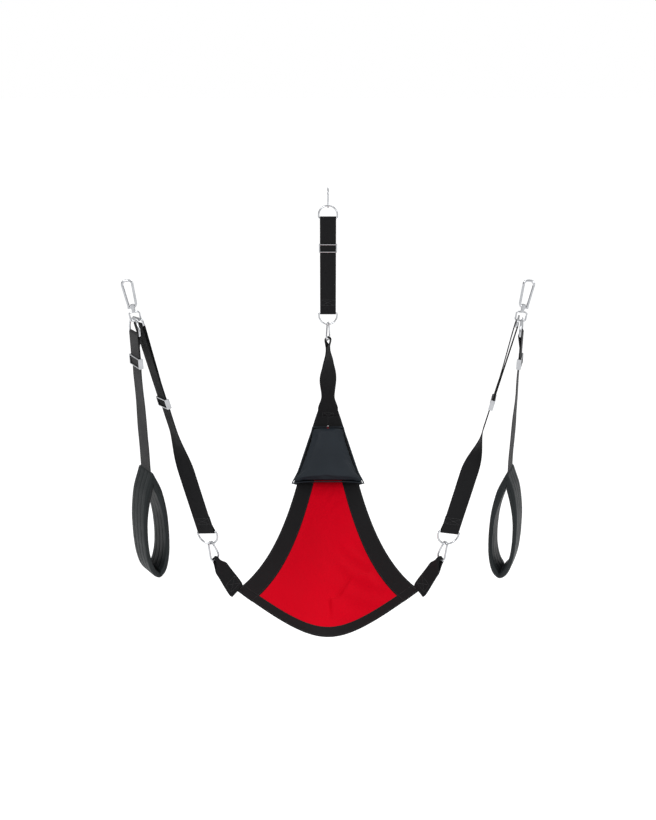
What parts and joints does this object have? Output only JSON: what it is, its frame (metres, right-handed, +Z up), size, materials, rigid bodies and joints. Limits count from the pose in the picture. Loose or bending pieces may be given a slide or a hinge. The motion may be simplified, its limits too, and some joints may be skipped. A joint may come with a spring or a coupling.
{
  "type": "three-point suspension sling",
  "caption": "Triangular fabric hammock hung from one rear and two front hooks by adjustable webbing straps, with a padded head cushion and padded foot loops.",
  "frame": {"origin": "where the rear hook's bow bears on what holds it, inside the hook's wide end", "axes": "+Z up, -Y from the rear hook towards the front hooks, +X to the right seen from the front hooks' side"},
  "size_m": [1.0008, 0.7348, 1.0877],
  "materials": {
    "webbing": "woven black webbing",
    "panel_cloth": "tightly woven red cloth",
    "cushion_leatherette": "fine-grained dark blue-black leatherette",
    "cuff_leatherette": "smooth black leatherette",
    "plated_steel": "bright nickel plate",
    "spring_steel": "plain spring steel"
  },
  "bodies": {
    "suspension_points": {"rear_hook_body": "plated_steel", "rear_hook_rivet": "plated_steel", "left_hook_eye": "plated_steel", "right_hook_eye": "plated_steel"},
    "rear_hook_gate": {"rear_hook_gate": "plated_steel", "rear_hook_spring": "spring_steel"},
    "rear_link_upper": {"rear_upper_ring": "plated_steel", "rear_strap_upper": "webbing"},
    "rear_slider": {"rear_slider": "plated_steel"},
    "rear_link_lower": {"rear_strap_lower": "webbing", "rear_lower_ring": "plated_steel", "rear_snap_body": "plated_steel", "rear_snap_rivet": "plated_steel", "top_loop": "webbing"},
    "rear_snap_gate": {"rear_snap_gate": "plated_steel", "rear_snap_spring": "spring_steel"},
    "hammock": {"seat_panel": "panel_cloth", "front_edge_band": "webbing", "left_edge_band": "webbing", "right_edge_band": "webbing", "head_cushion": "cushion_leatherette", "cushion_back_flap": "cushion_leatherette", "left_corner_loop": "webbing", "right_corner_loop": "webbing"},
    "left_hook": {"left_hook_body": "plated_steel", "left_hook_rivet": "plated_steel"},
    "left_hook_gate": {"left_hook_gate": "plated_steel", "left_hook_spring": "spring_steel"},
    "left_strap_ring": {"left_strap_ring": "plated_steel"},
    "left_strap_upper": {"left_strap_upper": "webbing"},
    "left_slider": {"left_slider": "plated_steel"},
    "left_strap_lower": {"left_strap_lower": "webbing", "left_corner_lower_ring": "plated_steel", "left_corner_snap_body": "plated_steel", "left_corner_snap_rivet": "plated_steel"},
    "left_corner_gate": {"left_corner_snap_gate": "plated_steel", "left_corner_snap_spring": "spring_steel"},
    "left_stirrup_ring": {"left_stirrup_ring": "plated_steel"},
    "left_stirrup_upper": {"left_stirrup_strap_upper": "webbing"},
    "left_stirrup_slider": {"left_stirrup_slider": "plated_steel"},
    "left_stirrup": {"left_stirrup_strap_lower": "webbing", "left_stirrup_cuff": "cuff_leatherette"},
    "right_hook": {"right_hook_body": "plated_steel", "right_hook_rivet": "plated_steel"},
    "right_hook_gate": {"right_hook_gate": "plated_steel", "right_hook_spring": "spring_steel"},
    "right_strap_ring": {"right_strap_ring": "plated_steel"},
    "right_strap_upper": {"right_strap_upper": "webbing"},
    "right_slider": {"right_slider": "plated_steel"},
    "right_strap_lower": {"right_strap_lower": "webbing", "right_corner_lower_ring": "plated_steel", "right_corner_snap_body": "plated_steel", "right_corner_snap_rivet": "plated_steel"},
    "right_corner_gate": {"right_corner_snap_gate": "plated_steel", "right_corner_snap_spring": "spring_steel"},
    "right_stirrup_ring": {"right_stirrup_ring": "plated_steel"},
    "right_stirrup_upper": {"right_stirrup_strap_upper": "webbing"},
    "right_stirrup_slider": {"right_stirrup_slider": "plated_steel"},
    "right_stirrup": {"right_stirrup_strap_lower": "webbing", "right_stirrup_cuff": "cuff_leatherette"}
  },
  "joints": [
    {"name": "rear_hook_gate_hinge", "type": "hinge", "parent": "suspension_points", "child": "rear_hook_gate", "pos_m": [0, -0.0069, -0.0467], "axis": [-1, 0, 0], "range_deg": [0, 26], "stiffness_Nm_per_rad": 0.05, "springref_deg": -20.05},
    {"name": "sling_swing", "type": "hinge", "parent": "suspension_points", "child": "rear_link_upper", "pos_m": [0, 0, -0.0472], "axis": [1, 0, 0], "range_deg": [-5, 15]},
    {"name": "sling_height", "type": "slide", "parent": "rear_link_upper", "child": "rear_link_lower", "axis": [0, 0, -1], "range_m": [-0.03, 0.03]},
    {"name": "rear_slider_travel", "type": "slide", "parent": "rear_link_upper", "child": "rear_slider", "axis": [0, 0, 1], "range_m": [-0.03, 0.03]},
    {"name": "rear_snap_gate_hinge", "type": "hinge", "parent": "rear_link_lower", "child": "rear_snap_gate", "pos_m": [0.00258, 0.00639, -0.408], "axis": [-0.9272, 0.3746, 0], "range_deg": [0, 26], "stiffness_Nm_per_rad": 0.05, "springref_deg": -20.05},
    {"name": "hammock_level", "type": "hinge", "parent": "rear_link_lower", "child": "hammock", "pos_m": [0, 0, -0.6912], "axis": [1, 0, 0], "range_deg": [-15, 15]},
    {"name": "left_hook_swivel", "type": "hinge", "parent": "suspension_points", "child": "left_hook", "pos_m": [-0.447, -0.66, -0.2], "axis": [-0.1564, 0, 0.9877], "continuous": true},
    {"name": "left_hook_gate_hinge", "type": "hinge", "parent": "left_hook", "child": "left_hook_gate", "pos_m": [-0.46105, -0.66, -0.16881], "axis": [0, -1, 0], "range_deg": [0, 15], "stiffness_Nm_per_rad": 0.05, "springref_deg": -20.05},
    {"name": "left_strap_swing", "type": "hinge", "parent": "suspension_points", "child": "left_strap_ring", "pos_m": [-0.44226, -0.66, -0.19925], "axis": [1, 0, 0], "range_deg": [-15, 15]},
    {"name": "left_strap_lean", "type": "hinge", "parent": "left_strap_ring", "child": "left_strap_upper", "pos_m": [-0.43998, -0.66, -0.20888], "axis": [0, 1, 0], "range_deg": [-0.8, 0.8]},
    {"name": "left_slider_travel", "type": "slide", "parent": "left_strap_upper", "child": "left_slider", "axis": [-0.2301, 0, 0.9732], "range_m": [-0.03, 0.03]},
    {"name": "left_strap_length", "type": "slide", "parent": "left_strap_upper", "child": "left_strap_lower", "axis": [0.2301, 0, -0.9732], "range_m": [-0.03, 0.03]},
    {"name": "left_corner_gate_hinge", "type": "hinge", "parent": "left_strap_lower", "child": "left_corner_gate", "pos_m": [-0.29677, -0.65493, -0.79429], "axis": [-0.7149, 0.6785, -0.169], "range_deg": [0, 26], "stiffness_Nm_per_rad": 0.05, "springref_deg": -20.05},
    {"name": "left_stirrup_swing", "type": "hinge", "parent": "suspension_points", "child": "left_stirrup_ring", "pos_m": [-0.45174, -0.66, -0.20075], "axis": [1, 0, 0], "range_deg": [-28, 4]},
    {"name": "left_stirrup_sideways", "type": "hinge", "parent": "left_stirrup_ring", "child": "left_stirrup_upper", "pos_m": [-0.45174, -0.66, -0.23165], "axis": [-0.5736, 0.8192, 0], "range_deg": [-2, 40]},
    {"name": "left_stirrup_length", "type": "slide", "parent": "left_stirrup_upper", "child": "left_stirrup", "axis": [0, 0, -1], "range_m": [-0.025, 0.025]},
    {"name": "left_stirrup_slider_travel", "type": "slide", "parent": "left_stirrup_upper", "child": "left_stirrup_slider", "axis": [0, 0, 1], "range_m": [-0.025, 0.025]},
    {"name": "right_hook_swivel", "type": "hinge", "parent": "suspension_points", "child": "right_hook", "pos_m": [0.447, -0.66, -0.2], "axis": [-0.1564, 0, -0.9877], "continuous": true},
    {"name": "right_hook_gate_hinge", "type": "hinge", "parent": "right_hook", "child": "right_hook_gate", "pos_m": [0.46105, -0.66, -0.16881], "axis": [0, 1, 0], "range_deg": [0, 15], "stiffness_Nm_per_rad": 0.05, "springref_deg": -20.05},
    {"name": "right_strap_swing", "type": "hinge", "parent": "suspension_points", "child": "right_strap_ring", "pos_m": [0.44226, -0.66, -0.19925], "axis": [1, 0, 0], "range_deg": [-15, 15]},
    {"name": "right_strap_lean", "type": "hinge", "parent": "right_strap_ring", "child": "right_strap_upper", "pos_m": [0.43998, -0.66, -0.20888], "axis": [0, -1, 0], "range_deg": [-0.8, 0.8]},
    {"name": "right_slider_travel", "type": "slide", "parent": "right_strap_upper", "child": "right_slider", "axis": [0.2301, 0, 0.9732], "range_m": [-0.03, 0.03]},
    {"name": "right_strap_length", "type": "slide", "parent": "right_strap_upper", "child": "right_strap_lower", "axis": [-0.2301, 0, -0.9732], "range_m": [-0.03, 0.03]},
    {"name": "right_corner_gate_hinge", "type": "hinge", "parent": "right_strap_lower", "child": "right_corner_gate", "pos_m": [0.29773, -0.65417, -0.79452], "axis": [-0.822, -0.5353, 0.1943], "range_deg": [0, 26], "stiffness_Nm_per_rad": 0.05, "springref_deg": -20.05},
    {"name": "right_stirrup_swing", "type": "hinge", "parent": "suspension_points", "child": "right_stirrup_ring", "pos_m": [0.45174, -0.66, -0.20075], "axis": [1, 0, 0], "range_deg": [-28, 4]},
    {"name": "right_stirrup_sideways", "type": "hinge", "parent": "right_stirrup_ring", "child": "right_stirrup_upper", "pos_m": [0.45174, -0.66, -0.23165], "axis": [-0.2756, -0.9613, 0], "range_deg": [-2, 40]},
    {"name": "right_stirrup_length", "type": "slide", "parent": "right_stirrup_upper", "child": "right_stirrup", "axis": [0, 0, -1], "range_m": [-0.025, 0.025]},
    {"name": "right_stirrup_slider_travel", "type": "slide", "parent": "right_stirrup_upper", "child": "right_stirrup_slider", "axis": [0, 0, 1], "range_m": [-0.025, 0.025]}
  ],
  "couplings": [
    {"joint": "rear_slider_travel", "follows": "sling_height", "ratio": 1},
    {"joint": "hammock_level", "follows": "sling_swing", "ratio": -1},
    {"joint": "left_strap_swing", "follows": "sling_swing", "ratio": 1},
    {"joint": "left_strap_lean", "follows": "sling_height", "rad_per_m": 0.35297},
    {"joint": "left_slider_travel", "follows": "sling_height", "ratio": 0.97317},
    {"joint": "left_strap_length", "follows": "sling_height", "ratio": 0.97317},
    {"joint": "left_stirrup_slider_travel", "follows": "left_stirrup_length", "ratio": 1},
    {"joint": "right_strap_swing", "follows": "sling_swing", "ratio": 1},
    {"joint": "right_strap_lean", "follows": "sling_height", "rad_per_m": 0.35297},
    {"joint": "right_slider_travel", "follows": "sling_height", "ratio": 0.97317},
    {"joint": "right_strap_length", "follows": "sling_height", "ratio": 0.97317},
    {"joint": "right_stirrup_slider_travel", "follows": "right_stirrup_length", "ratio": 1}
  ]
}
